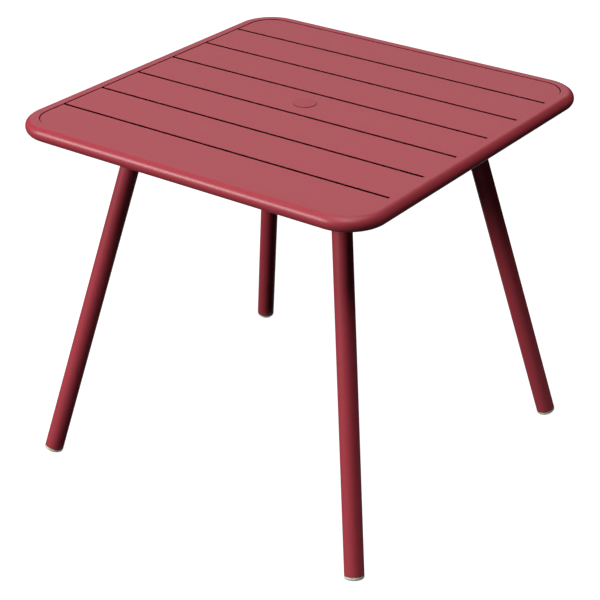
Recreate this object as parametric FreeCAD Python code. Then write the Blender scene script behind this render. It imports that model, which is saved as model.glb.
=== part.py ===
import FreeCAD, Part
import math
import os

from FreeCAD import Vector

# Square garden dining table of powder-coated aluminium: seven slats in a round-nosed rim,
# carried by two cross bearers on four splayed tube legs, with a cap in the parasol hole.
# Millimetres. The origin is on the floor under the middle of the top, +Z is up,
# the slats run along X and the front is at -Y.

# Overall size
table_side = 800.0  # outside of the rim, both ways
table_height = 740.0  # floor to the flat band on top of the rim

# Rim: a hollow tube, half round outside and flat inside, with a shelf for the slats
rim_width = 27.0
rim_height = 29.0
rim_wall = 2.0
rim_lip_radius = 1.2  # rounding of the upper inner edge
corner_radius = 80.0  # of the outside, seen from above
shelf_width = 10.0
shelf_thickness = 2.5
drain_radius = 2.5  # one hole under the middle of each side

# Slats: channels open downwards, the outer two cut to the rim's round corners
slat_count = 7
slat_gap = 6.0  # between one slat and the next
slat_drop = 1.2  # slat tops below the top of the rim
slat_thickness = 2.5
slat_depth = 12.0  # of the whole channel
flange_thickness = 2.0
slat_edge_radius = 0.8
slat_end_gap = 1.0  # between slat ends and rim
slat_side_gap = 0.3  # between the outer slats and rim
outer_slat_trim = 4.5  # the outer slats are narrower by this
flange_end_gap = 2.0  # between flange ends and shelf

# Cross bearers: flat rectangular tubes under the slats, from front rim to rear rim
bearer_width = 50.0
bearer_height = 15.0
bearer_wall = 2.0
bearer_edge_radius = 1.5

# Legs: round tubes, welded to a flange plate above and closed by a glide below
leg_radius = 19.0
leg_wall = 2.0
leg_head_inset_x = 168.5  # from the outside of the rim to where the leg's axis meets its plate
leg_head_inset_y = 186.5
leg_foot_inset_x = 21.0  # and to where it meets the floor
leg_foot_inset_y = 32.5
plate_length = 100.0  # the plate is as wide as its bearer
plate_thickness = 5.0
plate_corner_radius = 6.0

# Bolts that hold each plate to its bearer, through washers into rivet nuts
bolt_radius = 3.0
bolt_head_across = 10.0
bolt_head_height = 4.0
bolt_edge_x = 10.0  # from the middle of a bolt to the plate's long edge
bolt_edge_y = 11.0  # and to its short edge
bolt_clearance = 0.3
washer_radius = 6.0
washer_thickness = 1.6
nut_wall = 1.5
nut_bulge = 1.5  # where the nut is drawn up behind the bearer's wall
nut_bulge_height = 4.0
nut_length = 9.0
fit_clearance = 0.05  # between a piece and the hole that it is pressed or screwed into

# Glides: plastic end caps, square to the leg, pressed into the tube
glide_height = 8.0
glide_edge_radius = 3.5
glide_seam_radius = 0.5  # rounding beside the end of the tube
glide_flat_depth = 0.4  # worn flat where it stands on the floor
glide_stem_length = 24.0
glide_stem_wall = 2.0
glide_stem_gap = 0.6  # between stem and tube, which the ribs bridge
glide_rib_count = 3
glide_rib_height = 2.0

# Parasol hole in the middle slat, the collar welded under it and the cap that closes it
pole_hole_radius = 20.0
collar_wall = 4.0
collar_length = 22.0
cap_seat_step = 1.0  # the slat and the upper end of the collar are bored wider for the cap
cap_seat_room = 1.0  # below the cap's skirt
cap_overlap = 1.5  # of the cap's rim on the slat
cap_thickness = 1.1
cap_edge_radius = 0.8
cap_clearance = 0.3
cap_skirt_depth = 8.0
cap_skirt_wall = 1.8
cap_slot_count = 4
cap_slot_width = 3.0
cap_slot_depth = 5.0

# Worked out from those sizes
up = Vector(0, 0, 1)
half_side = table_side / 2
inner_half = half_side - rim_width
inner_corner_radius = corner_radius - rim_width
rim_bottom = table_height - rim_height
slat_top = table_height - slat_drop
slat_under = slat_top - slat_thickness
slat_bottom = slat_top - slat_depth
bearer_bottom = slat_bottom - bearer_height
plate_under = bearer_bottom - plate_thickness
leg_head_x = half_side - leg_head_inset_x
leg_head_y = half_side - leg_head_inset_y
leg_foot_x = half_side - leg_foot_inset_x
leg_foot_y = half_side - leg_foot_inset_y
slat_room = 2 * (inner_half - slat_side_gap) - (slat_count - 1) * slat_gap
slat_width = (slat_room + 2 * outer_slat_trim) / slat_count
slat_pitch = slat_width + slat_gap
first_inner_edge = inner_half - slat_side_gap - slat_width + outer_slat_trim
middle_slat = slat_count // 2
cap_hole_radius = pole_hole_radius + cap_seat_step
cap_radius = cap_hole_radius + cap_overlap
nut_radius = bolt_radius + nut_wall
diagonal_share = 1 - math.sqrt(0.5)  # where the middle of a quarter round lies, of its radius

corners = {
    "front_left": (-1, -1),
    "front_right": (1, -1),
    "rear_left": (-1, 1),
    "rear_right": (1, 1),
}


def closed_face(start, *steps):
    """A flat face bounded by lines to points, and by arcs where a step is (through, end)."""
    edges = []
    here = start
    for step in steps + (start,):
        if isinstance(step, tuple):
            through, end = step
            edges.append(Part.Arc(here, through, end).toShape())
        else:
            end = step
            if here.distanceToPoint(end) > Part.Precision.confusion():
                edges.append(Part.LineSegment(here, end).toShape())
        here = end
    return Part.Face(Part.Wire(edges))


def block(low, high):
    size = high - low
    return Part.makeBox(size.x, size.y, size.z, low)


def rounded_prism(half_x, half_y, radius, z_low, z_high):
    """An upright prism about the Z axis whose plan is a rectangle with round corners."""
    prism = block(Vector(-half_x, -half_y, z_low), Vector(half_x, half_y, z_high))
    uprights = [e for e in prism.Edges if abs(e.tangentAt(e.FirstParameter).z) > 0.5]
    return prism.makeFillet(radius, uprights)


def joined(shapes):
    return shapes[0].multiFuse(shapes[1:]).removeSplitter()


def along_rim(section):
    """A section through the middle of the right-hand side, carried round the whole rim."""
    straight = half_side - corner_radius
    side = section.translated(Vector(0, -straight, 0)).extrude(Vector(0, 2 * straight, 0))
    corner_start = section.translated(Vector(0, straight, 0))
    corner = corner_start.revolve(Vector(straight, straight, 0), up, 90)
    pieces = []
    for turn in range(4):
        for piece in (side, corner):
            pieces.append(piece.rotated(Vector(0, 0, 0), up, 90 * turn))
    return joined(pieces)


def rim_frame():
    nose = rim_height / 2
    nose_x = half_side - nose
    middle = table_height - nose
    lip = rim_lip_radius
    shelf_x = inner_half - shelf_width
    shelf_under = slat_under - shelf_thickness
    lip_mid = Vector(inner_half + lip * diagonal_share, 0, table_height - lip * diagonal_share)
    outside = closed_face(
        Vector(inner_half, 0, rim_bottom),
        Vector(nose_x, 0, rim_bottom),
        (Vector(half_side, 0, middle), Vector(nose_x, 0, table_height)),
        Vector(inner_half + lip, 0, table_height),
        (lip_mid, Vector(inner_half, 0, table_height - lip)),
        Vector(inner_half, 0, slat_under),
        Vector(shelf_x, 0, slat_under),
        Vector(shelf_x, 0, shelf_under),
        Vector(inner_half, 0, shelf_under),
    )
    hollow_x = inner_half + rim_wall
    hollow = closed_face(
        Vector(hollow_x, 0, rim_bottom + rim_wall),
        Vector(nose_x, 0, rim_bottom + rim_wall),
        (Vector(half_side - rim_wall, 0, middle), Vector(nose_x, 0, table_height - rim_wall)),
        Vector(hollow_x, 0, table_height - rim_wall),
    )
    rim = along_rim(outside).cut(along_rim(hollow))
    drain_x = (hollow_x + nose_x) / 2
    for turn in range(4):
        drain = Part.makeCylinder(drain_radius, 2 * rim_wall, Vector(drain_x, 0, rim_bottom - rim_wall / 2))
        rim = rim.cut(drain.rotated(Vector(0, 0, 0), up, 90 * turn))
    return rim


def slat_edges(index):
    """Where slat number index starts and ends along Y, counted from the front."""
    low = -first_inner_edge + slat_gap + (index - 1) * slat_pitch
    high = low + slat_width
    if index == 0:
        low = -inner_half + slat_side_gap
    if index == slat_count - 1:
        high = inner_half - slat_side_gap
    return low, high


def slat(index):
    low, high = slat_edges(index)
    low_foot = slat_under if index == 0 else slat_bottom
    high_foot = slat_under if index == slat_count - 1 else slat_bottom
    round_off = slat_edge_radius
    shoulder = slat_top - round_off
    inset = round_off * diagonal_share
    x = -inner_half
    section = closed_face(
        Vector(x, low, low_foot),
        Vector(x, low, shoulder),
        (Vector(x, low + inset, slat_top - inset), Vector(x, low + round_off, slat_top)),
        Vector(x, high - round_off, slat_top),
        (Vector(x, high - inset, slat_top - inset), Vector(x, high, shoulder)),
        Vector(x, high, high_foot),
        Vector(x, high - flange_thickness, high_foot),
        Vector(x, high - flange_thickness, slat_under),
        Vector(x, low + flange_thickness, slat_under),
        Vector(x, low + flange_thickness, low_foot),
    )
    plan = rounded_prism(
        inner_half - slat_end_gap,
        inner_half - slat_side_gap,
        inner_corner_radius + slat_end_gap,
        slat_bottom,
        slat_top,
    )
    channel = section.extrude(Vector(2 * inner_half, 0, 0)).common(plan)
    flange_end = inner_half - shelf_width - flange_end_gap
    for x_low, x_high in ((-half_side, -flange_end), (flange_end, half_side)):
        channel = channel.cut(block(Vector(x_low, low, slat_bottom), Vector(x_high, high, slat_under)))
    if index == middle_slat:
        hole = Part.makeCylinder(cap_hole_radius, slat_thickness, Vector(0, parasol_y(), slat_under))
        channel = channel.cut(hole)
    return channel.removeSplitter()


def parasol_y():
    return sum(slat_edges(middle_slat)) / 2


def parasol_collar():
    centre_top = Vector(0, parasol_y(), slat_under)
    outside = pole_hole_radius + collar_wall
    seat_depth = cap_skirt_depth + cap_seat_room - slat_thickness
    collar = Part.makeCylinder(outside, collar_length, centre_top, -up)
    bore = Part.makeCylinder(pole_hole_radius, collar_length, centre_top, -up)
    seat = Part.makeCylinder(cap_hole_radius, seat_depth, centre_top, -up)
    return collar.cut(bore).cut(seat)


def parasol_cap():
    y = parasol_y()
    top = slat_top + cap_thickness
    skirt = cap_hole_radius - cap_clearance
    skirt_inside = skirt - cap_skirt_wall
    skirt_end = slat_top - cap_skirt_depth
    inset = cap_edge_radius * diagonal_share
    half_section = closed_face(
        Vector(0, y, slat_top),
        Vector(skirt_inside, y, slat_top),
        Vector(skirt_inside, y, skirt_end),
        Vector(skirt, y, skirt_end),
        Vector(skirt, y, slat_top),
        Vector(cap_radius, y, slat_top),
        Vector(cap_radius, y, top - cap_edge_radius),
        (Vector(cap_radius - inset, y, top - inset), Vector(cap_radius - cap_edge_radius, y, top)),
        Vector(0, y, top),
    )
    cap = half_section.revolve(Vector(0, y, 0), up, 360)
    slot = block(
        Vector(0, y - cap_slot_width / 2, skirt_end),
        Vector(cap_hole_radius, y + cap_slot_width / 2, skirt_end + cap_slot_depth),
    )
    for number in range(cap_slot_count):
        cap = cap.cut(slot.rotated(Vector(0, y, 0), up, 360 * number / cap_slot_count))
    return cap


def bolt_places(side_x, side_y):
    """Where the four bolts of one leg pass from its plate into the bearer."""
    reach_x = bearer_width / 2 - bolt_edge_x
    reach_y = plate_length / 2 - bolt_edge_y
    places = []
    for step_x in (-reach_x, reach_x):
        for step_y in (-reach_y, reach_y):
            places.append(Vector(side_x * leg_head_x + step_x, side_y * leg_head_y + step_y, bearer_bottom))
    return places


def bearer(side_x):
    half = bearer_width / 2
    tube = block(Vector(-half, -inner_half, bearer_bottom), Vector(half, inner_half, slat_bottom))
    long_edges = [e for e in tube.Edges if abs(e.tangentAt(e.FirstParameter).y) > 0.5]
    tube = tube.makeFillet(bearer_edge_radius, long_edges)
    hollow = block(
        Vector(-half + bearer_wall, -inner_half, bearer_bottom + bearer_wall),
        Vector(half - bearer_wall, inner_half, slat_bottom - bearer_wall),
    )
    tube = tube.cut(hollow).translated(Vector(side_x * leg_head_x, 0, 0))
    for side_y in (-1, 1):
        for place in bolt_places(side_x, side_y):
            tube = tube.cut(Part.makeCylinder(nut_radius + fit_clearance, bearer_wall, place))
    return tube


def leg_plate(side_x, side_y):
    plate = rounded_prism(
        bearer_width / 2, plate_length / 2, plate_corner_radius, plate_under, bearer_bottom
    )
    plate = plate.translated(Vector(side_x * leg_head_x, side_y * leg_head_y, 0))
    for place in bolt_places(side_x, side_y):
        plate = plate.cut(Part.makeCylinder(bolt_radius + bolt_clearance, plate_thickness, place, -up))
    return plate


def leg_axis(side_x, side_y):
    """The middle of the tube's lower end, the way up the leg and the length to its plate."""
    head = Vector(side_x * leg_head_x, side_y * leg_head_y, plate_under)
    floor = Vector(side_x * leg_foot_x, side_y * leg_foot_y, 0)
    way_up = (head - floor).normalize()
    cosine = way_up.z
    sine = math.sqrt(1 - cosine**2)
    edge = glide_edge_radius
    rise = (glide_height - edge) * cosine + (leg_radius - edge) * sine + edge - glide_flat_depth
    end = floor + way_up * (rise / cosine)
    return end, way_up, (head - end).Length


def leg(side_x, side_y):
    end, way_up, length = leg_axis(side_x, side_y)
    uncut = length + 2 * leg_radius
    tube = Part.makeCylinder(leg_radius, uncut, end, way_up)
    tube = tube.cut(Part.makeCylinder(leg_radius - leg_wall, uncut, end, way_up))
    above = block(
        Vector(-table_side, -table_side, plate_under),
        Vector(table_side, table_side, plate_under + uncut),
    )
    return tube.cut(above)


def glide(side_x, side_y):
    """Turned about +Z with the end of the tube at the origin, then swung onto the leg's axis."""
    end, way_up, _ = leg_axis(side_x, side_y)
    bore = leg_radius - leg_wall
    stem = bore - glide_stem_gap
    stem_inside = stem - glide_stem_wall
    edge = glide_edge_radius
    seam = glide_seam_radius
    body = closed_face(
        Vector(0, 0, -glide_height),
        Vector(leg_radius - edge, 0, -glide_height),
        (
            Vector(leg_radius - edge * diagonal_share, 0, -glide_height + edge * diagonal_share),
            Vector(leg_radius, 0, -glide_height + edge),
        ),
        Vector(leg_radius, 0, -seam),
        (
            Vector(leg_radius - seam * diagonal_share, 0, -seam * diagonal_share),
            Vector(leg_radius - seam, 0, 0),
        ),
        Vector(stem, 0, 0),
        Vector(stem, 0, glide_stem_length),
        Vector(stem_inside, 0, glide_stem_length),
        Vector(stem_inside, 0, 0),
        Vector(0, 0, 0),
    )
    pieces = [body.revolve(Vector(0, 0, 0), up, 360)]
    rib_step = glide_stem_length / (glide_rib_count + 1)
    for number in range(1, glide_rib_count + 1):
        foot = number * rib_step - glide_rib_height / 2
        rib = closed_face(
            Vector(stem_inside, 0, foot),
            Vector(stem, 0, foot),
            Vector(bore - fit_clearance, 0, foot + glide_rib_height / 2),
            Vector(stem, 0, foot + glide_rib_height),
            Vector(stem_inside, 0, foot + glide_rib_height),
        )
        pieces.append(rib.revolve(Vector(0, 0, 0), up, 360))
    cap = joined(pieces)
    cap.Placement = FreeCAD.Placement(end, FreeCAD.Rotation(up, way_up))
    below = block(Vector(-table_side, -table_side, -glide_height), Vector(table_side, table_side, 0))
    return cap.cut(below)


def bolt(place):
    under_washer = plate_under - washer_thickness
    corner_reach = bolt_head_across / math.sqrt(3)
    ring = []
    for turn in range(6):
        angle = turn * math.pi / 3
        ring.append(Vector(math.cos(angle), math.sin(angle), 0) * corner_reach)
    head = closed_face(*ring).extrude(-up * bolt_head_height)
    head.translate(Vector(place.x, place.y, under_washer))
    shank_length = washer_thickness + plate_thickness + nut_length
    shank = Part.makeCylinder(bolt_radius, shank_length, Vector(place.x, place.y, under_washer))
    return joined([head, shank])


def washer(place):
    low = Vector(place.x, place.y, plate_under - washer_thickness)
    disc = Part.makeCylinder(washer_radius, washer_thickness, low)
    return disc.cut(Part.makeCylinder(bolt_radius + bolt_clearance, washer_thickness, low))


def rivet_nut(place):
    wall_top = place + up * bearer_wall
    body = Part.makeCylinder(nut_radius, nut_length, place)
    bulge = Part.makeCylinder(nut_radius + nut_bulge, nut_bulge_height, wall_top)
    nut = joined([body, bulge])
    return nut.cut(Part.makeCylinder(bolt_radius + fit_clearance, nut_length, place))


def all_parts():
    parts = {"rim_frame": rim_frame()}
    for index in range(slat_count):
        parts[f"slat_{index + 1}"] = slat(index)
    parts["bearer_left"] = bearer(-1)
    parts["bearer_right"] = bearer(1)
    parts["parasol_collar"] = parasol_collar()
    parts["parasol_cap"] = parasol_cap()
    for name, sides in corners.items():
        places = bolt_places(*sides)
        parts[f"plate_{name}"] = leg_plate(*sides)
        parts[f"leg_{name}"] = leg(*sides)
        parts[f"glide_{name}"] = glide(*sides)
        parts[f"bolts_{name}"] = Part.makeCompound([bolt(place) for place in places])
        parts[f"washers_{name}"] = Part.makeCompound([washer(place) for place in places])
        parts[f"nuts_{name}"] = Part.makeCompound([rivet_nut(place) for place in places])
    return parts


os.makedirs("parts", exist_ok=True)
for node, shape in all_parts().items():
    shape.exportStep(f"parts/{node}.step")
    solids = len(shape.Solids)
    print(f"{node}: {solids} solid(s), {shape.Volume / 1000:.1f} cm3, valid {shape.isValid()}")
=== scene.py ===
import bmesh
import bpy
import numpy as np
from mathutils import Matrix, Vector


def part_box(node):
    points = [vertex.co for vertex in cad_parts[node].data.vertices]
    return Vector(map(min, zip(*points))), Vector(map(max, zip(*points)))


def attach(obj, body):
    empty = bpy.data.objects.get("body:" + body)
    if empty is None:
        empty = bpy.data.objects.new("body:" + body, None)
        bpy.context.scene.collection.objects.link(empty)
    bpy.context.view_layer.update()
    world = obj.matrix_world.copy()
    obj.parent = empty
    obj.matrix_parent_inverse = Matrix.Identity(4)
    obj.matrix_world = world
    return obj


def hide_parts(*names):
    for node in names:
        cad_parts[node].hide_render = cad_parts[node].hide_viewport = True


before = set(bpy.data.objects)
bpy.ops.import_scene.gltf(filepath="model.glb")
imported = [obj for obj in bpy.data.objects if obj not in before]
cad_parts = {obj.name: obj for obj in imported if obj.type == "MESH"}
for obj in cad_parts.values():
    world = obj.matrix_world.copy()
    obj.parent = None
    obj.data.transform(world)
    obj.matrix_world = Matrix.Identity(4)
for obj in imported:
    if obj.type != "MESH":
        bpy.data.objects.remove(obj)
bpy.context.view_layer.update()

scene = bpy.context.scene
tableCorners = {"front_left": (-1, -1), "front_right": (1, -1), "rear_left": (-1, 1), "rear_right": (1, 1)}
print("frame loaded,", len(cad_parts), "solids")


# Shader maths: a tap is one output socket, and sums of taps become Math nodes
class Tap:
    def __init__(self, tree, socket=None):
        self.tree = tree
        self.socket = socket

    # any node: its type, its settings first, then values or taps for its input sockets
    def node(self, kind, settings=None, sockets=None, output=0):
        made = self.tree.nodes.new(kind)
        for key, value in (settings or {}).items():
            setattr(made, key, value)
        for key, value in (sockets or {}).items():
            if isinstance(value, Tap):
                self.tree.links.new(value.socket, made.inputs[key])
            else:
                made.inputs[key].default_value = value
        return Tap(self.tree, made.outputs[output] if len(made.outputs) else None)

    def math(self, operation, first, second):
        return self.node("ShaderNodeMath", {"operation": operation}, {0: first, 1: second})

    def __add__(self, other):
        return self.math("ADD", self, other)

    def __radd__(self, other):
        return self.math("ADD", other, self)

    def __sub__(self, other):
        return self.math("SUBTRACT", self, other)

    def __rsub__(self, other):
        return self.math("SUBTRACT", other, self)

    def __mul__(self, other):
        return self.math("MULTIPLY", self, other)

    def __rmul__(self, other):
        return self.math("MULTIPLY", other, self)

    # a vector changed by another one, or by itself alone
    def vector(self, operation, other=None, output=0):
        sockets = {0: self} if other is None else {0: self, 1: other}
        return self.node("ShaderNodeVectorMath", {"operation": operation}, sockets, output)

    # how long a vector is
    def length(self):
        return self.vector("LENGTH", output=1)

    # a vector's upward part
    def upPart(self):
        return self.node("ShaderNodeSeparateXYZ", None, {0: self}, output=2)

    def noise(self, scale, detail=2.0, roughness=0.5):
        sockets = {"Vector": self, "Scale": scale, "Detail": detail, "Roughness": roughness}
        return self.node("ShaderNodeTexNoise", None, sockets)

    # 0 below low, 1 above high, smooth between
    def fade(self, low, high):
        settings = {"interpolation_type": "SMOOTHSTEP"}
        return self.node("ShaderNodeMapRange", settings, {0: self, 1: low, 2: high, 3: 0.0, 4: 1.0})

    # two colours mixed by this tap
    def between(self, colourA, colourB):
        return self.node("ShaderNodeMix", {"data_type": "RGBA"}, {0: self, 6: colourA, 7: colourB}, output=2)

    def bump(self, strength, height):
        return self.node("ShaderNodeBump", None, {"Strength": strength, "Distance": height, "Height": self})


def newMaterial(name):
    material = bpy.data.materials.new(name)
    material.use_nodes = True
    material.node_tree.nodes.clear()
    return material, Tap(material.node_tree)


def closeMaterial(tap, surface):
    tap.node("ShaderNodeOutputMaterial", None, {"Surface": surface})


def shade(colour, factor):
    return tuple(channel * factor for channel in colour[:3]) + (1.0,)


# The rim's sizes, which its finish reads too
rimLook = {
    "width": 0.027,
    "cornerRadius": 0.080,
    "lipRound": 0.0006,
    "shelfWidth": 0.010,
    "shelfThick": 0.0025,
    "edgeRound": 0.0006,
    "profileSteps": 12,
    "cornerSteps": 28,
    "drainRadius": 0.0025,
    "drainPatch": 0.0075,  # half of the flat that each hole is cut in
    "drainChamfer": 0.0003,
    "drainDepth": 0.006,
    "drainSteps": 8,  # to a side of the flat
}


# The legs' and glides' sizes and places, which the glides' finish reads too
legLook = {
    "headX": 0.2315,
    "headY": 0.2135,
    "footX": 0.379,
    "footY": 0.3675,
    "radius": 0.019,
    "endRound": 0.0006,
    "endSteps": 6,
    "steps": 96,
}
glideShape = {"height": 0.008, "edgeRound": 0.0035, "seamRound": 0.0006, "flatDepth": 0.0004, "steps": 10}


# the middle of the tube's lower end and the way up the leg: the glide's lowest edge just sinks into the floor
def legLine(corner):
    sideX, sideY = tableCorners[corner]
    head = np.array([sideX * legLook["headX"], sideY * legLook["headY"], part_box(f"plate_{corner}")[0].z])
    floor = np.array([sideX * legLook["footX"], sideY * legLook["footY"], 0.0])
    upward = (head - floor) / np.linalg.norm(head - floor)
    lean = np.sqrt(1 - upward[2] ** 2)
    edge = glideShape["edgeRound"]
    rise = (glideShape["height"] - edge) * upward[2] + (legLook["radius"] - edge) * lean
    rise = rise + edge - glideShape["flatDepth"]
    return floor + upward * rise / upward[2], upward, head


# Fine-grained satin powder coat: broad drift in tone, grain of the cured powder, soft orange peel
coatLook = {
    "colour": (0.480, 0.052, 0.073),
    "roughness": 0.40,
    "specular": 0.55,
    "drift": 0.05,  # of the tone, and of the roughness with it
    "driftScale": 3.5,
    "grain": 0.10,
    "grainScale": 1500.0,
    "grainRough": 0.12,
    "speck": (0.35, 0.75),  # from where to where in the grain a speck grows light
    "speckLight": 2.2,
    "peelScale": 420.0,
    "peelHeight": 0.00006,
    "peelStrength": 0.35,
    "peelGrain": 0.4,
    # painted shade: the dark tone, its roughness and its reach on gap walls and recesses
    "paintedShadeColour": (0.020, 0.0003, 0.0006, 1.0),
    "paintedShadeRough": 0.5,
    "paintedShadeTop": 0.0002,
    "paintedShadeBottom": 0.009,
    "paintedShadeUpright": (0.3, 0.9),  # square of a face's rise, from dark to clear
    "paintedShadeWall": (0.0001, 0.0004),
}


# the optional mask paints shade into the coat: a dark tone on gap walls and recesses, where little light gets
# in
def coatMaterial(name, look, paintShade=None):
    material, tap = newMaterial(name)
    place = tap.node("ShaderNodeTexCoord", output=3)
    drift = place.noise(look["driftScale"])
    grain = place.noise(look["grainScale"], roughness=0.6)
    peel = place.noise(look["peelScale"], detail=1.0)
    tone = drift.between(shade(look["colour"], 1 - look["drift"]), shade(look["colour"], 1 + look["drift"]))
    speck = grain.fade(*look["speck"]) * look["grain"]
    tone = speck.between(tone, shade(look["colour"], look["speckLight"]))
    rough = look["roughness"] + (grain - 0.5) * look["grainRough"] + (drift - 0.5) * look["drift"]
    paintedShade = 0.0
    if paintShade is not None:
        paintedShade = paintShade(place, look)
        tone = paintedShade.between(tone, look["paintedShadeColour"])
        rough = rough + paintedShade * look["paintedShadeRough"]
    surface = tap.node(
        "ShaderNodeBsdfPrincipled",
        None,
        {
            "Base Color": tone,
            "Roughness": rough,
            "Metallic": paintedShade,  # takes the pale gloss off the painted shade
            "Normal": (peel + grain * look["peelGrain"]).bump(look["peelStrength"], look["peelHeight"]),
            "IOR": 1.5,
            "Specular IOR Level": look["specular"],
        },
    )
    closeMaterial(tap, surface)
    return material


# painted shade on the slats: upright faces from just below the slats' top to the depth that can be seen in
# the gaps
def slatPaintedShade(place, look):
    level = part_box("slat_4")[1].z
    height = place.upPart()
    rise = place.node("ShaderNodeNewGeometry", output=3).upPart()
    upright = 1 - (rise * rise).fade(*look["paintedShadeUpright"])
    below = 1 - height.fade(level - 2 * look["paintedShadeTop"], level - look["paintedShadeTop"])
    near = height.fade(level - look["paintedShadeBottom"], level - 0.75 * look["paintedShadeBottom"])
    return upright * below * near


# painted shade on the rim's inner wall and the top of its shelf: near the inside of the rounded square, whose
# distance is measured from the square through its corners' centres
def rimPaintedShade(place, look):
    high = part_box("rim_frame")[1]
    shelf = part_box("parasol_collar")[1].z
    height = place.upPart()
    centre = high.x - rimLook["cornerRadius"]
    folded = place.vector("MULTIPLY", (1.0, 1.0, 0.0)).vector("ABSOLUTE")
    away = folded.vector("SUBTRACT", (centre, centre, 0.0)).vector("MAXIMUM", (0.0, 0.0, 0.0)).length()
    wall = rimLook["cornerRadius"] - rimLook["width"]
    near, far = look["paintedShadeWall"]
    inside = 1 - away.fade(wall + near, wall + far)
    below = 1 - height.fade(high.z - 2 * look["paintedShadeTop"], high.z - look["paintedShadeTop"])
    above = height.fade(shelf - 2 * far, shelf - far)
    return inside * below * above


# Milky moulded plastic of the glides, scuffed where it meets the floor
glideLook = {
    "colour": (0.87, 0.87, 0.75),
    "roughness": 0.34,
    "cloud": (0.94, 1.05),
    "cloudScale": 90.0,
    "cloudRough": 0.1,
    "scuffColour": (0.50, 0.47, 0.36),
    "scuff": 0.7,
    "scuffHeight": 0.0025,
    "scuffRough": 0.35,
    "scratchScale": 900.0,
    "scratch": (0.4, 0.7),
    "scratchStrength": 0.25,
    "scratchHeight": 0.00005,
    # painted shade in the seam under the tube: its width and its colour
    "seam": 0.0011,
    "seamColour": (0.020, 0.008, 0.008),
    "milk": 0.5,
    "milkReach": (0.004, 0.004, 0.003),
}


def glideMaterial(name, look):
    material, tap = newMaterial(name)
    place = tap.node("ShaderNodeTexCoord", output=3)
    cloud = place.noise(look["cloudScale"], detail=3.0)
    scratch = place.noise(look["scratchScale"], detail=3.0, roughness=0.7)
    scuff = (1 - place.upPart().fade(0.0, look["scuffHeight"])) * scratch.fade(*look["scratch"])
    tone = cloud.between(shade(look["colour"], look["cloud"][0]), shade(look["colour"], look["cloud"][1]))
    tone = (scuff * look["scuff"]).between(tone, shade(look["scuffColour"], 1.0))
    # painted shade in the seam under the tube: how far along the leg, all four legs folded onto the rear
    # right one
    end, upward, _ = legLine("rear_right")
    fromEnd = place.vector("ABSOLUTE").vector("SUBTRACT", tuple(end))
    along = fromEnd.vector("DOT_PRODUCT", tuple(upward), output=1)
    seam = along.fade(-look["seam"], -0.5 * look["seam"])
    tone = seam.between(tone, shade(look["seamColour"], 1.0))
    surface = tap.node(
        "ShaderNodeBsdfPrincipled",
        None,
        {
            "Base Color": tone,
            "Roughness": look["roughness"] + scuff * look["scuffRough"] + (cloud - 0.5) * look["cloudRough"],
            "Normal": scratch.bump(look["scratchStrength"], look["scratchHeight"]),
            "Subsurface Weight": look["milk"],
            "Subsurface Radius": look["milkReach"],
            "Subsurface Scale": 1.0,
        },
    )
    closeMaterial(tap, surface)
    return material


# Moulded cap in the coat's colour: fine spark-eroded grain and faint rings about its middle
capLook = {
    "colour": coatLook["colour"],
    "roughness": 0.42,
    "grain": 0.07,
    "grainScale": 1900.0,
    "grainRough": 0.14,
    "grainStrength": 0.3,
    "grainHeight": 0.00003,
    "ringPitch": 0.0009,
    "ringShare": 0.15,
    # painted shade in the seam round the cap's edge
    "seam": 0.0014,
    "seamTop": 0.00015,
    "seamShade": 0.02,
    "seamRough": 0.4,
}


def capMaterial(name, look):
    material, tap = newMaterial(name)
    place = tap.node("ShaderNodeTexCoord", output=3)
    away = place.vector("MULTIPLY", (1.0, 1.0, 0.0)).length()
    rings = tap.node("ShaderNodeMath", {"operation": "SINE"}, {0: away * (2 * np.pi / look["ringPitch"])})
    grain = place.noise(look["grainScale"], roughness=0.6)
    tone = grain.between(shade(look["colour"], 1 - look["grain"]), shade(look["colour"], 1 + look["grain"]))
    # painted shade in the seam between the cap's edge and the slat
    low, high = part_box("parasol_cap")
    radius = (high.x - low.x) / 2
    seam = away.fade(radius - look["seam"], radius - 0.5 * look["seam"])
    seam = seam * (1 - place.upPart().fade(high.z - 3 * look["seamTop"], high.z - look["seamTop"]))
    tone = seam.between(tone, shade(look["colour"], look["seamShade"]))
    relief = grain + rings * look["ringShare"]
    surface = tap.node(
        "ShaderNodeBsdfPrincipled",
        None,
        {
            "Base Color": tone,
            "Roughness": look["roughness"] + (grain - 0.5) * look["grainRough"] + seam * look["seamRough"],
            "Metallic": seam,  # takes the pale gloss off the painted shade
            "Normal": relief.bump(look["grainStrength"], look["grainHeight"]),
            "IOR": 1.5,
        },
    )
    closeMaterial(tap, surface)
    return material


# Zinc-plated steel of the bolts, washers and nuts
zincLook = {
    "colour": (0.58, 0.59, 0.60),
    "roughness": 0.33,
    "dullColour": (0.40, 0.40, 0.39),
    "dullScale": 220.0,
    "dull": (0.35, 0.7),
    "dullRough": 0.15,
    "spangleScale": 1600.0,
    "spangleRough": 0.1,
    "spangleStrength": 0.2,
    "spangleHeight": 0.00004,
}


def zincMaterial(name, look):
    material, tap = newMaterial(name)
    place = tap.node("ShaderNodeTexCoord", output=3)
    dull = place.noise(look["dullScale"], detail=4.0, roughness=0.6).fade(*look["dull"])
    spangle = place.noise(look["spangleScale"])
    rough = look["roughness"] + dull * look["dullRough"] + (spangle - 0.5) * look["spangleRough"]
    surface = tap.node(
        "ShaderNodeBsdfPrincipled",
        None,
        {
            "Base Color": dull.between(shade(look["colour"], 1.0), shade(look["dullColour"], 1.0)),
            "Roughness": rough,
            "Normal": spangle.bump(look["spangleStrength"], look["spangleHeight"]),
            "Metallic": 1.0,
        },
    )
    closeMaterial(tap, surface)
    return material


redCoat = coatMaterial("redCoat", coatLook)
slatCoatPaintedShade = coatMaterial("slatCoatPaintedShade", coatLook, slatPaintedShade)
rimCoatPaintedShade = coatMaterial("rimCoatPaintedShade", coatLook, rimPaintedShade)
milkyPlastic = glideMaterial("milkyPlastic", glideLook)
capPlastic = capMaterial("capPlastic", capLook)
zincSteel = zincMaterial("zincSteel", zincLook)
print("finishes made")


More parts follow.
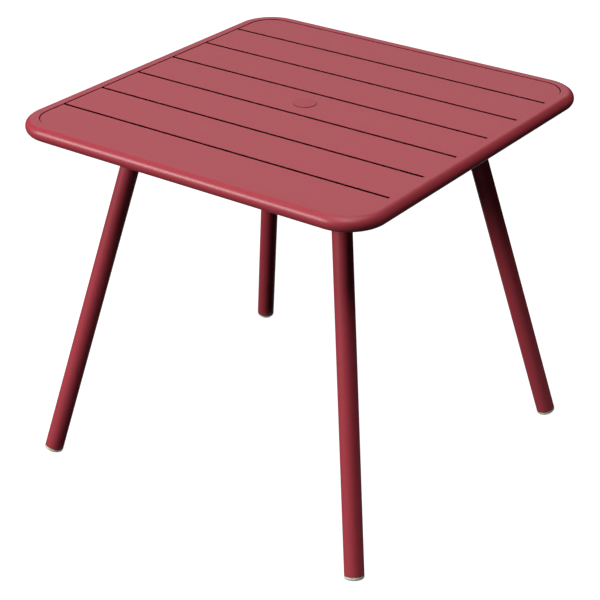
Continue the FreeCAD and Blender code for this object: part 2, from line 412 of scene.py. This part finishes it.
# Quads between neighbouring points of a grid that is counted row by row
def gridFaces(rows, columns, closedRows=False, closedColumns=True):
    r, c = np.meshgrid(
        np.arange(rows if closedRows else rows - 1),
        np.arange(columns if closedColumns else columns - 1),
        indexing="ij",
    )
    nextRow = (r + 1) % rows
    nextColumn = (c + 1) % columns
    here = r * columns
    above = nextRow * columns
    corners = [here + c, here + nextColumn, above + nextColumn, above + c]
    return np.stack(corners, -1).reshape(-1, 4)


# A polygon with its inside on the left, each corner swapped for an arc that touches both sides:
# the arc starts radius / tan(half the corner's angle) before the corner, and its points lie a radius
# along normals that swing from one side's to the next one's. A short lead before and after each arc
# keeps the flats flat when shaded. Gives the points and their outward normals.
def roundedLoop(corners, radii, steps=8, lead=0.0006):
    corners = np.asarray(corners, float)
    radii = np.broadcast_to(np.asarray(radii, float), (len(corners),))
    back = np.roll(corners, 1, 0) - corners
    ahead = np.roll(corners, -1, 0) - corners
    length = np.linalg.norm(ahead, axis=1)
    back = back / np.linalg.norm(back, axis=1, keepdims=True)
    ahead = ahead / length[:, None]
    normalIn = np.stack([-back[:, 1], back[:, 0]], 1)
    normalOut = np.stack([ahead[:, 1], -ahead[:, 0]], 1)
    half = np.arccos(np.clip((back * ahead).sum(1), -1, 1)) / 2
    turn = np.where(back[:, 1] * ahead[:, 0] - back[:, 0] * ahead[:, 1] < 0, -1.0, 1.0)
    reach = radii / np.tan(half)
    share = np.linspace(0, 1, steps + 1)
    swing = np.maximum(np.pi - 2 * half, 1e-6)[:, None]
    normals = (np.sin(swing * (1 - share)) / np.sin(swing))[..., None] * normalIn[:, None]
    normals = normals + (np.sin(swing * share) / np.sin(swing))[..., None] * normalOut[:, None]
    start = corners + back * reach[:, None]
    centre = start - (turn * radii)[:, None] * normalIn
    arcs = centre[:, None] + (turn * radii)[:, None, None] * normals
    room = np.maximum(length - reach - np.roll(reach, -1), 0)
    leadOut = np.minimum(lead, 0.45 * room)[:, None]  # stops short of a side's middle
    leadIn = np.roll(leadOut, 1, 0)
    before = arcs[:, 0] + back * leadIn
    after = arcs[:, -1] + ahead * leadOut
    points = np.concatenate([before[:, None], arcs, after[:, None]], 1)
    normals = np.concatenate([normalIn[:, None], normals, normalOut[:, None]], 1)
    return points.reshape(-1, 2), normals.reshape(-1, 2)


# Inset and height of each row up a slab's edge: a quarter round below, the side, a quarter round above
def edgeRows(low, high, roundLow, roundHigh, steps=6, lead=0.0006):
    angle = np.linspace(0, np.pi / 2, steps + 1)
    lower = np.stack([roundLow * (1 - np.sin(angle)), low + roundLow * (1 - np.cos(angle))], 1)
    upper = np.stack([roundHigh * (1 - np.cos(angle)), high - roundHigh * (1 - np.sin(angle))], 1)
    return np.concatenate([[[roundLow + lead, low]], lower, upper, [[roundHigh + lead, high]]])


# An outline carried up through the rows, drawn in along its normals by each row's inset; flat ends close
# it. With a hole the flat ends are two halves each, split at the outline's two middle marks, and a wall
# joins them. The inset fades to endShare of itself where the outline faces along X, for ends that are sawn
# and not rolled.
def slab(outline, normals, rows, hole=None, marks=None, endShare=1.0, holeSteps=96):
    facing = np.abs(normals[:, 0])[None, :, None]
    inset = rows[:, 0][:, None, None] * (1 - (1 - endShare) * facing)
    plan = outline[None] - inset * normals[None]
    height = np.broadcast_to(rows[:, 1][:, None, None], plan.shape[:2] + (1,))
    points = np.concatenate([plan, height], 2).reshape(-1, 3)
    count = len(outline)
    top = (len(rows) - 1) * count
    faces = [gridFaces(len(rows), count)]
    if hole is None:
        loop = np.arange(count)
        return points, faces + [loop[None, ::-1], (loop + top)[None]]
    angle = np.linspace(0, 2 * np.pi, holeSteps, endpoint=False)
    ring = np.stack([hole * np.cos(angle), hole * np.sin(angle)], 1)
    start = len(points)
    for z in (rows[0, 1], rows[-1, 1]):
        points = np.concatenate([points, np.c_[ring, np.full(len(ring), z)]])
    faces.append(gridFaces(2, len(ring)) + start)
    right, left = marks
    upperSide = np.arange(right, left + 1)
    lowerSide = np.arange(left, right + count + 1) % count
    upperRing = np.arange(holeSteps // 2, -1, -1)
    lowerRing = np.arange(holeSteps, holeSteps // 2 - 1, -1) % holeSteps
    for base, ringBase in ((0, start), (top, start + len(ring))):
        faces.append(np.concatenate([upperSide + base, upperRing + ringBase])[None])
        faces.append(np.concatenate([lowerSide + base, lowerRing + ringBase])[None])
    return points, faces


# A profile of (radius, height) turned about an axis: base + axis * height + radius * (cos, sin) across it
def turned(profile, base, axis, steps=96, closed=False):
    profile = np.asarray(profile, float)
    axis = np.asarray(axis, float) / np.linalg.norm(axis)
    across = np.cross([0.0, 1.0, 0.0], axis)
    across = across / np.linalg.norm(across)
    other = np.cross(axis, across)
    angle = np.linspace(0, 2 * np.pi, steps, endpoint=False)
    spoke = np.cos(angle)[:, None] * across + np.sin(angle)[:, None] * other
    radius, height = profile.T[:, :, None, None]
    points = np.asarray(base, float) + radius * spoke + height * axis
    return points.reshape(-1, 3), [gridFaces(len(profile), steps, closedRows=closed)]


# Shells of points and faces become one piece: doubles merged, faces turned outwards, sharp edges kept
def addPiece(name, shells, material, nodes=(), body="table", sharpAngle=38.0):
    points = np.concatenate([shell[0] for shell in shells])
    faces = []
    start = 0
    for shellPoints, shellFaces in shells:
        for block in shellFaces:
            faces.extend((block + start).tolist())
        start += len(shellPoints)
    mesh = bpy.data.meshes.new(name)
    mesh.from_pydata(points.tolist(), [], faces)
    work = bmesh.new()
    work.from_mesh(mesh)
    bmesh.ops.remove_doubles(work, verts=work.verts, dist=1e-6)
    bmesh.ops.recalc_face_normals(work, faces=work.faces)
    work.to_mesh(mesh)
    work.free()
    mesh.shade_smooth()
    mesh.set_sharp_from_angle(angle=np.radians(sharpAngle))
    mesh.materials.append(material)
    piece = bpy.data.objects.new(name, mesh)
    scene.collection.objects.link(piece)
    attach(piece, body)
    if nodes:
        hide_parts(*nodes)


# Rim: half round outside, flat band and rounded lip on top, shelf inside. The profile is carried round a
# square with round corners: a point is its corner's centre plus the profile's reach times the way outwards.
rimLow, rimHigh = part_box("rim_frame")
halfSide = round(rimHigh.x, 3)
innerHalf = halfSide - rimLook["width"]
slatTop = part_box("slat_4")[1].z
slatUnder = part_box("parasol_collar")[1].z


def makeRim(look):
    nose = (rimHigh.z - rimLow.z) / 2
    shelf = innerHalf - look["shelfWidth"]
    shelfUnder = slatUnder - look["shelfThick"]
    edge = look["edgeRound"]
    profile, _ = roundedLoop(
        [
            (innerHalf, rimLow.z),
            (halfSide, rimLow.z),
            (halfSide, rimHigh.z),
            (innerHalf, rimHigh.z),
            (innerHalf, slatUnder),
            (shelf, slatUnder),
            (shelf, shelfUnder),
            (innerHalf, shelfUnder),
        ],
        [edge, nose, nose, look["lipRound"], edge, edge, edge, edge],
        steps=look["profileSteps"],
    )
    # path: for each quarter two stations at the middle of a side, then the stations of a corner's arc
    straight = halfSide - look["cornerRadius"]
    patch = look["drainPatch"]
    arc = np.linspace(0, np.pi / 2, look["cornerSteps"] + 1)
    centre = np.concatenate([[[straight, -patch], [straight, patch]], np.full((len(arc), 2), straight)])
    outward = np.concatenate([[[1.0, 0.0], [1.0, 0.0]], np.stack([np.cos(arc), np.sin(arc)], 1)])
    quarterTurn = np.array([[0.0, -1.0], [1.0, 0.0]])
    quarters = np.array([np.linalg.matrix_power(quarterTurn, turn) for turn in range(4)])
    centre = np.einsum("qij,sj->qsi", quarters, centre).reshape(-1, 2)
    outward = np.einsum("qij,sj->qsi", quarters, outward).reshape(-1, 2)
    plan = centre[None] + (profile[:, 0] - straight)[:, None, None] * outward[None]
    height = np.broadcast_to(profile[:, 1][:, None, None], plan.shape[:2] + (1,))
    points = np.concatenate([plan, height], 2)
    rows, columns = plan.shape[:2]
    faces = gridFaces(rows, columns, closedRows=True).reshape(rows, columns, 4)
    # the flat underside's widest quad at the middle of each side gives way to a drain hole
    onBottom = np.abs(profile[:, 1] - rimLow.z) < 1e-7
    widths = np.where(onBottom & np.roll(onBottom, -1), np.roll(profile[:, 0], -1) - profile[:, 0], 0)
    bottomRow = int(np.argmax(widths))
    middles = np.arange(4) * (columns // 4)
    keep = np.ones((rows, columns), bool)
    keep[bottomRow, middles] = False
    shells = [(points.reshape(-1, 3), [faces[keep]])]
    steps = look["drainSteps"]
    ringAngle = np.radians(-135) + np.linspace(0, 2 * np.pi, 4 * steps, endpoint=False)
    ringShape = np.stack([np.cos(ringAngle), np.sin(ringAngle)], 1)
    drain = look["drainRadius"]
    chamfer = look["drainChamfer"]
    depths = [(drain + chamfer, 0.0), (drain, chamfer), (drain, look["drainDepth"])]
    for number in range(4):
        column = middles[number]
        quadRows = [bottomRow, bottomRow, bottomRow + 1, bottomRow + 1]
        quad = points[quadRows, [column, column + 1, column + 1, column]]
        middle = quad.mean(0)
        rings = [middle + np.c_[radius * ringShape, np.full(4 * steps, rise)] for radius, rise in depths]
        order = np.argsort(np.arctan2(quad[:, 1] - middle[1], quad[:, 0] - middle[0]))
        holePoints = np.concatenate([quad[order]] + rings)
        side = np.arange(4)[:, None]
        run = np.arange(steps, -1, -1)[None]
        collar = 4 + (side * steps + run) % (4 * steps)
        flats = np.concatenate([side, (side + 1) % 4, collar], 1)
        walls = gridFaces(len(rings), 4 * steps) + 4
        end = (4 + (len(rings) - 1) * 4 * steps + np.arange(4 * steps))[None]
        shells.append((holePoints, [flats, walls, end]))
    addPiece("rim", shells, rimCoatPaintedShade, ["rim_frame"])


makeRim(rimLook)
print("rim made")


# Slats: a flat top with rounded edges and a flange down each side that meets another slat
slatLook = {
    "count": 7,
    "holed": 4,  # the one with the parasol hole
    "edgeRound": 0.0006,
    "endShare": 0.3,
    "endRound": 0.0012,
    "endSteps": 24,
    "lead": 0.0003,
    "flangeThick": 0.002,
    "flangeRound": 0.0005,
    "flangeEndGap": 0.0002,
    "endGap": 0.001,
    "holeRadius": 0.021,
}


def makeSlat(number, look):
    node = f"slat_{number}"
    low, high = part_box(node)
    outer = rimLook["cornerRadius"] - rimLook["width"] + look["endGap"]
    radiusLow = outer if number == 1 else look["endRound"]
    radiusHigh = outer if number == look["count"] else look["endRound"]
    middle = (low.y + high.y) / 2
    outline, normals = roundedLoop(
        [
            (high.x, low.y),
            (high.x, middle),
            (high.x, high.y),
            (low.x, high.y),
            (low.x, middle),
            (low.x, low.y),
        ],
        [radiusLow, 0, radiusHigh, radiusHigh, 0, radiusLow],
        steps=look["endSteps"],
    )
    rows = edgeRows(slatUnder, slatTop, 0.0, look["edgeRound"], lead=look["lead"])
    each = len(outline) // 6  # points to a corner; the marks are the middles of the two short ends
    marks = (each + each // 2, 4 * each + each // 2)
    hole = look["holeRadius"] if number == look["holed"] else None
    shells = [slab(outline, normals, rows, hole, marks, look["endShare"])]
    reach = innerHalf - rimLook["shelfWidth"] - look["flangeEndGap"]
    flangeRows = edgeRows(low.z, slatUnder, look["flangeRound"], 0.0)
    sides = [(low.y, low.y + look["flangeThick"])] if number > 1 else []
    sides += [(high.y - look["flangeThick"], high.y)] if number < look["count"] else []
    for flangeLow, flangeHigh in sides:
        strip, stripNormals = roundedLoop(
            [(-reach, flangeLow), (reach, flangeLow), (reach, flangeHigh), (-reach, flangeHigh)],
            look["flangeRound"],
            steps=3,
            lead=look["lead"],
        )
        shells.append(slab(strip, stripNormals, flangeRows))
    addPiece(f"slatTop{number}", shells, slatCoatPaintedShade, [node])


for slatNumber in range(1, slatLook["count"] + 1):
    makeSlat(slatNumber, slatLook)
print("slats made")


# Bearers: flat rectangular tubes under the slats, from front rim to rear rim
bearerLook = {"edgeRound": 0.0015}


# a bearer's cross section, a rectangle with round corners, and its two ends
def bearerSection(side):
    low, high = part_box(f"bearer_{side}")
    corners = [(low.x, low.z), (high.x, low.z), (high.x, high.z), (low.x, high.z)]
    section, _ = roundedLoop(corners, bearerLook["edgeRound"])
    return section, {"front": low.y, "rear": high.y}


def makeBearer(side):
    section, places = bearerSection(side)
    count = len(section)
    ends = [np.c_[section[:, 0], np.full(count, y), section[:, 1]] for y in places.values()]
    loop = np.arange(count)
    faces = [gridFaces(2, count), loop[None], (loop + count)[None, ::-1]]
    shells = [(np.concatenate(ends), faces)]
    addPiece(f"bearerTube_{side}", shells, redCoat, [f"bearer_{side}"])


for bearerSide in ("left", "right"):
    makeBearer(bearerSide)
print("bearers made")


# Leg plates, flat with round corners and eased edges
plateLook = {"cornerRound": 0.006, "edgeRound": 0.0008}


def makePlate(corner, look):
    low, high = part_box(f"plate_{corner}")
    outline, normals = roundedLoop(
        [(low.x, low.y), (high.x, low.y), (high.x, high.y), (low.x, high.y)], look["cornerRound"]
    )
    rows = edgeRows(low.z, high.z, look["edgeRound"], look["edgeRound"])
    shells = [slab(outline, normals, rows)]
    addPiece(f"legPlate_{corner}", shells, redCoat, [f"plate_{corner}"])


# Legs: round tubes splayed both ways, mitred under the plate, with an eased lower end
def makeLeg(corner, look):
    end, upward, head = legLine(corner)
    angle = np.linspace(0, np.pi / 2, look["endSteps"] + 1)
    soft = look["endRound"]
    radius = look["radius"]
    eased = np.stack([radius - soft + soft * np.sin(angle), soft * (1 - np.cos(angle))], 1)
    # two rings above the eased edge: the first keeps the tube flat in shading, the second becomes its head
    profile = np.concatenate([[[0, 0]], eased, [[radius, 3 * soft], [radius, 4 * soft]]])
    points, faces = turned(profile, end, upward, look["steps"])
    # the last ring slides up the leg until it lies in the plate's underside
    top = points[-look["steps"]:]
    top = top + ((head[2] - top[:, 2]) / upward[2])[:, None] * upward
    points[-look["steps"]:] = top
    cap = np.arange(len(points) - look["steps"], len(points))
    faces = faces + [cap[None]]
    addPiece(f"legTube_{corner}", [(points, faces)], redCoat, [f"leg_{corner}"])
    return top


# Glides: round-edged plastic ends, square to the leg and worn flat on the floor
def makeGlide(corner, look):
    end, upward, _ = legLine(corner)
    radius = legLook["radius"]
    profile, _ = roundedLoop(
        [(0, -look["height"]), (radius, -look["height"]), (radius, 0), (0, 0)],
        [0, look["edgeRound"], look["seamRound"], 0],
        steps=look["steps"],
    )
    each = len(profile) // 4
    points, faces = turned(profile[each - 2:-each + 2], end, upward)
    points[:, 2] = np.maximum(points[:, 2], 0)
    shells = [(points, faces)]
    addPiece(f"glideEnd_{corner}", shells, milkyPlastic, [f"glide_{corner}"])


# Weld bead along a closed line in a plane: circles across the line, swelling and shrinking with the ripples
weldLook = {
    "legRadius": 0.0024,
    "bearerRadius": 0.0018,
    "collarRadius": 0.0020,
    "ripplePitch": 0.0022,
    "ripple": 0.10,
    "ringSteps": 480,
    "bearerSteps": 560,
    "sides": 16,
}


def weldBead(name, line, outward, plane, radius):
    step = np.linalg.norm(np.roll(line, -1, 0) - line, axis=1)
    along = np.concatenate([[0], np.cumsum(step)[:-1]])
    ripples = round(step.sum() / weldLook["ripplePitch"])
    swell = 1 + weldLook["ripple"] * np.sin(2 * np.pi * ripples * along / step.sum())
    angle = np.linspace(0, 2 * np.pi, weldLook["sides"], endpoint=False)
    circle = np.cos(angle)[None, :, None] * outward[:, None] + np.sin(angle)[None, :, None] * plane
    points = line[:, None] + (radius * swell)[:, None, None] * circle
    faces = gridFaces(len(line), len(angle), closedRows=True)
    addPiece(name, [(points.reshape(-1, 3), [faces])], redCoat, sharpAngle=180)


# a closed line's points spread evenly along it
def denseLoop(points, count):
    step = np.linalg.norm(np.roll(points, -1, 0) - points, axis=1)
    along = np.concatenate([[0], np.cumsum(step)])
    wanted = np.linspace(0, along[-1], count, endpoint=False)
    closed = np.concatenate([points, points[:1]])
    return np.stack([np.interp(wanted, along, closed[:, axis]) for axis in range(points.shape[1])], 1)


def makeLegWeld(corner, ring):
    line = denseLoop(ring, weldLook["ringSteps"])
    tangent = np.roll(line, -1, 0) - np.roll(line, 1, 0)
    plane = np.array([0.0, 0.0, 1.0])
    outward = np.cross(tangent, plane)
    outward = outward / np.linalg.norm(outward, axis=1, keepdims=True)
    weldBead(f"legWeld_{corner}", line, outward, plane, weldLook["legRadius"])


def makeBearerWeld(side, end):
    section, places = bearerSection(side)
    section = denseLoop(section, weldLook["bearerSteps"])
    line = np.c_[section[:, 0], np.full(len(section), places[end]), section[:, 1]]
    tangent = np.roll(line, -1, 0) - np.roll(line, 1, 0)
    plane = np.array([0.0, 1.0, 0.0])
    outward = np.cross(plane, tangent)
    outward = outward / np.linalg.norm(outward, axis=1, keepdims=True)
    weldBead(f"bearerWeld_{side}_{end}", line, outward, plane, weldLook["bearerRadius"])


# Bolts: hexagon heads whose corners are cut back by a shallow cone, on round shanks
boltLook = {
    "across": 0.010,
    "shank": 0.003,
    "coneStart": 0.94,  # share of the half width across flats
    "coneAngle": 30.0,
    "dish": (0.8, 0.74),  # its edge and its floor, as shares of where the cone starts
    "dishDepth": 0.0003,
    "edgeX": 0.010,
    "edgeY": 0.011,
    "steps": 96,
}


def boltPlaces(corner):
    low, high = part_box(f"plate_{corner}")
    x = [low.x + boltLook["edgeX"], high.x - boltLook["edgeX"]]
    y = [low.y + boltLook["edgeY"], high.y - boltLook["edgeY"]]
    return [(px, py) for px in x for py in y]


def makeBolts(corner, look):
    low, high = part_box(f"bolts_{corner}")
    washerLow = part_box(f"washers_{corner}")[0].z
    angle = np.linspace(0, 2 * np.pi, look["steps"], endpoint=False)
    flat = look["across"] / 2
    hexagon = flat / np.cos(angle % (np.pi / 3) - np.pi / 6)
    coneRadius = flat * look["coneStart"]
    cone = low.z + np.maximum(hexagon - coneRadius, 0) * np.tan(np.radians(look["coneAngle"]))
    dishEdge, dishFloor = coneRadius * np.array(look["dish"])
    dishTop = low.z + look["dishDepth"]
    same = np.ones_like(angle)
    rows = [
        (0 * same, high.z * same),
        (look["shank"] * same, high.z * same),
        (look["shank"] * same, washerLow * same),
        (hexagon, washerLow * same),
        (hexagon, cone),
        (coneRadius * same, low.z * same),
        (dishEdge * same, low.z * same),
        (dishFloor * same, dishTop * same),
        (0 * same, dishTop * same),
    ]
    radius = np.array([row[0] for row in rows])
    height = np.array([row[1] for row in rows])
    shells = []
    for x, y in boltPlaces(corner):
        points = np.stack([x + radius * np.cos(angle), y + radius * np.sin(angle), height], 2)
        shells.append((points.reshape(-1, 3), [gridFaces(len(rows), len(angle))]))
    addPiece(f"boltSet_{corner}", shells, zincSteel, [f"bolts_{corner}"], sharpAngle=20)


# Washers: flat rings with eased edges
washerLook = {"hole": 0.0033, "radius": 0.006, "edgeRound": 0.0003, "steps": 48}


def makeWashers(corner, look):
    low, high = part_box(f"washers_{corner}")
    section, _ = roundedLoop(
        [(look["hole"], low.z), (look["radius"], low.z), (look["radius"], high.z), (look["hole"], high.z)],
        look["edgeRound"],
        steps=4,
        lead=0.0002,
    )
    steps = look["steps"]
    shells = [turned(section, (x, y, 0), (0, 0, 1), steps, closed=True) for x, y in boltPlaces(corner)]
    addPiece(f"washerSet_{corner}", shells, zincSteel, [f"washers_{corner}"])


for cornerName in tableCorners:
    makePlate(cornerName, plateLook)
    legTop = makeLeg(cornerName, legLook)
    makeGlide(cornerName, glideShape)
    makeLegWeld(cornerName, legTop)
    makeBolts(cornerName, boltLook)
    makeWashers(cornerName, washerLook)
    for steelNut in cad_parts[f"nuts_{cornerName}"].material_slots:
        steelNut.material = zincSteel
print("legs, plates, glides and bolts made")

for bearerSide in ("left", "right"):
    for bearerEnd in ("front", "rear"):
        makeBearerWeld(bearerSide, bearerEnd)
print("bearer welds made")


# Collar of the parasol hole, bored wider above for the cap's skirt
collarLook = {"bore": 0.020, "wall": 0.004, "seatStep": 0.001, "seatDepth": 0.0065, "edgeRound": 0.0004}


def makeCollar(look):
    low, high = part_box("parasol_collar")
    middle = ((low.x + high.x) / 2, (low.y + high.y) / 2, 0)
    outside = look["bore"] + look["wall"]
    seat = look["bore"] + look["seatStep"]
    seatFloor = high.z - look["seatDepth"]
    section, _ = roundedLoop(
        [
            (look["bore"], low.z),
            (outside, low.z),
            (outside, high.z),
            (seat, high.z),
            (seat, seatFloor),
            (look["bore"], seatFloor),
        ],
        look["edgeRound"],
        steps=4,
        lead=0.0004,
    )
    shells = [turned(section, middle, (0, 0, 1), closed=True)]
    addPiece("parasolCollar", shells, redCoat, ["parasol_collar"])
    angle = np.linspace(0, 2 * np.pi, weldLook["ringSteps"], endpoint=False)
    outward = np.stack([np.cos(angle), np.sin(angle), 0 * angle], 1)
    line = np.array([middle[0], middle[1], high.z]) + outside * outward
    weldBead("collarWeld", line, outward, np.array([0.0, 0.0, 1.0]), weldLook["collarRadius"])


makeCollar(collarLook)

# Cap of the parasol hole: round-edged disc on a skirt that is slotted from below
capShape = {
    "skirt": 0.0207,
    "skirtWall": 0.0018,
    "edgeRound": 0.0008,
    "underRound": 0.0001,
    "skirtRound": 0.0003,
    "insideRound": 0.0004,
    "slots": 4,
    "slotWidth": 0.003,
    "slotDepth": 0.005,
    "arcSteps": 24,  # from slot to slot
}


def makeCap(look):
    low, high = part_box("parasol_cap")
    middle = np.array([(low.x + high.x) / 2, (low.y + high.y) / 2, 0])
    radius = (high.x - low.x) / 2
    inside = look["skirt"] - look["skirtWall"]
    soft = look["skirtRound"]
    profile, _ = roundedLoop(
        [
            (0, slatTop),
            (inside, slatTop),
            (inside, low.z),
            (look["skirt"], low.z),
            (look["skirt"], slatTop),
            (radius, slatTop),
            (radius, high.z),
            (0, high.z),
        ],
        [0, look["insideRound"], soft, soft, soft, look["underRound"], look["edgeRound"], 0],
        steps=6,
        lead=0.0004,
    )
    each = len(profile) // 8
    profile = profile[each - 2:-each + 2]
    # stations round the cap come in pairs at the edges of a slot, where the skirt steps up
    slotHalf = look["slotWidth"] / 2 / look["skirt"]
    arc = 2 * np.pi / look["slots"]
    wide = look["arcSteps"]
    station = np.concatenate([[-slotHalf, 0, slotHalf], np.linspace(slotHalf, arc - slotHalf, wide)])
    cut = np.concatenate([[True, True, True], np.zeros(wide, bool)])
    angle = (np.arange(look["slots"])[:, None] * arc + station[None]).reshape(-1)
    cut = np.tile(cut, look["slots"])
    height = np.broadcast_to(profile[:, 1][:, None], (len(profile), len(angle)))
    raised = np.maximum(height, low.z + look["slotDepth"])
    height = np.where(cut[None], raised, height)
    spoke = np.stack([np.cos(angle), np.sin(angle)], 1)
    plan = profile[:, 0][:, None, None] * spoke[None] + middle[:2]
    points = np.concatenate([plan, height[..., None]], 2)
    shells = [(points.reshape(-1, 3), [gridFaces(len(profile), len(angle))])]
    addPiece("parasolCap", shells, capPlastic, ["parasol_cap"], body="cap")


makeCap(capShape)
print("parasol collar and cap made")


# a plain matt finish that glows evenly
def paleFinish(tap, colour, glow):
    return tap.node(
        "ShaderNodeBsdfPrincipled",
        None,
        {
            "Base Color": colour,
            "Roughness": 0.9,
            "Specular IOR Level": 0.0,
            "Emission Color": (1.0, 1.0, 1.0, 1.0),
            "Emission Strength": glow,
        },
    )


# Stage: a pale floor that curves up into a wall all round and closes above, lit from within so that it stays
# even. It is seen from its upper side only.
stageLook = {
    "middle": 2.0,
    "flat": 14.0,
    "bend": 8.0,
    "wall": 14.0,
    "glow": 1.0,
    "colour": (0.20, 0.20, 0.20, 1.0),
    "bendSteps": 24,
    "steps": 64,
}


def makeStage(look):
    angle = np.linspace(0, np.pi / 2, look["bendSteps"] + 1)
    bend = np.stack([look["flat"] + look["bend"] * np.sin(angle), look["bend"] * (1 - np.cos(angle))], 1)
    reach = look["flat"] + look["bend"]
    dome = np.stack([reach * np.cos(angle), look["wall"] + look["bend"] * np.sin(angle)], 1)
    profile = np.concatenate([[[0, 0], [look["middle"], 0]], bend, dome])
    points, faces = turned(profile, (0, 0, 0), (0, 0, 1), look["steps"])
    mesh = bpy.data.meshes.new("studioFloor")
    mesh.from_pydata(points.tolist(), [], faces[0][:, ::-1].tolist())
    mesh.shade_smooth()
    material, tap = newMaterial("paleFloor")
    behind = tap.node("ShaderNodeNewGeometry", output=6)
    front = paleFinish(tap, look["colour"], look["glow"])
    clear = tap.node("ShaderNodeBsdfTransparent")
    closeMaterial(tap, tap.node("ShaderNodeMixShader", None, {0: behind, 1: front, 2: clear}))
    mesh.materials.append(material)
    floor = bpy.data.objects.new("studioFloor", mesh)
    scene.collection.objects.link(floor)
    floor.visible_diffuse = False
    floor.visible_glossy = False
    floor.visible_shadow = False


makeStage(stageLook)

# Bounce: faint sheets just under the floor, which the camera does not see. Part of a ring in front and to the
# right of the table sends a little light up to the legs, and a small spot under each foot lights its glide.
# Degrees are counted round from the front, as for the softboxes.
bounceLook = {
    "inner": 0.42,
    "outer": 1.0,
    "from": -35,
    "to": 150,
    "level": -0.001,
    "colour": (0.10, 0.10, 0.10, 1.0),
    "glow": 0.02,
    "footRadius": 0.026,
    "footGlow": 0.30,
    "steps": 48,
}


def bounceSheet(name, arc, radii, middle, look, glow):
    around = np.radians(np.linspace(arc[0], arc[1], look["steps"] + 1))
    spoke = np.stack([np.sin(around), -np.cos(around), 0 * around], 1)
    points = np.array(radii)[:, None, None] * spoke[None] + [middle[0], middle[1], look["level"]]
    faces = gridFaces(2, len(around), closedColumns=False)[:, ::-1]
    mesh = bpy.data.meshes.new(name)
    mesh.from_pydata(points.reshape(-1, 3).tolist(), [], faces.tolist())
    material, tap = newMaterial(name)
    closeMaterial(tap, paleFinish(tap, look["colour"], glow))
    mesh.materials.append(material)
    bounce = bpy.data.objects.new(name, mesh)
    scene.collection.objects.link(bounce)
    bounce.visible_camera = False


def makeBounce(look):
    ring = (look["inner"], look["outer"])
    bounceSheet("bounceRing", (look["from"], look["to"]), ring, (0, 0), look, look["glow"])
    for corner in tableCorners:
        foot = legLine(corner)[0]
        bounceSheet(f"bounceSpot_{corner}", (0, 360), (0, look["footRadius"]), foot, look, look["footGlow"])


makeBounce(bounceLook)

# Softboxes about the table's middle: degrees round from the front, degrees above the horizon,
# how wide and high each looks from there, and how bright its face is
softboxes = {
    "key": {"around": -35, "above": 20.5, "span": (30, 13), "bright": 17.8},
    "fill": {"around": 30, "above": 58, "span": (20, 16), "bright": 7.7},
    "ceiling": {"around": 0, "above": 90, "span": (44, 44), "bright": 1.75},
    "ceilingRight": {"around": 120, "above": 58, "span": (32, 26), "bright": 0.28},
    "sheen": {"around": -142, "above": 30, "span": (52, 26), "bright": 0.86},
    "lowBack": {"around": -144, "above": -35, "span": (60, 30), "bright": 0.3},
}
lightMiddle = Vector((0, 0, 0.6))
lightAway = 8.0
for boxName, box in softboxes.items():
    width, height = 2 * lightAway * np.tan(np.radians(box["span"]) / 2)
    around, above = np.radians([box["around"], box["above"]])
    direction = Vector((np.cos(above) * np.sin(around), -np.cos(above) * np.cos(around), np.sin(above)))
    light = bpy.data.lights.new(boxName, "AREA")
    light.shape = "RECTANGLE"
    light.size = width
    light.size_y = height
    light.energy = box["bright"] * np.pi * width * height
    lamp = bpy.data.objects.new(boxName, light)
    scene.collection.objects.link(lamp)
    lamp.location = lightMiddle + direction * lightAway
    lamp.rotation_euler = direction.to_track_quat("Z", "Y").to_euler()
    lamp.visible_camera = False

roomFill = 0.01
world = bpy.data.worlds.new("studio")
world.use_nodes = True
world.node_tree.nodes["Background"].inputs["Color"].default_value = (1, 1, 1, 1)
world.node_tree.nodes["Background"].inputs["Strength"].default_value = roomFill
scene.world = world
scene.view_settings.view_transform = "Standard"
scene.view_settings.look = "None"
print("stage and lights set")

# Camera: a long lens from the front right, above the table
cameraLook = {
    "lens": 102.82,
    "sensor": 36.0,
    "place": (1.8012, -2.5034, 1.9384),
    "target": (0.46675, -0.66054, 0.7388),
}
cameraData = bpy.data.cameras.new("camera")
cameraData.lens = cameraLook["lens"]
cameraData.sensor_width = cameraLook["sensor"]
camera = bpy.data.objects.new("camera", cameraData)
scene.collection.objects.link(camera)
camera.location = cameraLook["place"]
aim = Vector(cameraLook["target"]) - camera.location
camera.rotation_euler = aim.to_track_quat("-Z", "Y").to_euler()
scene.camera = camera
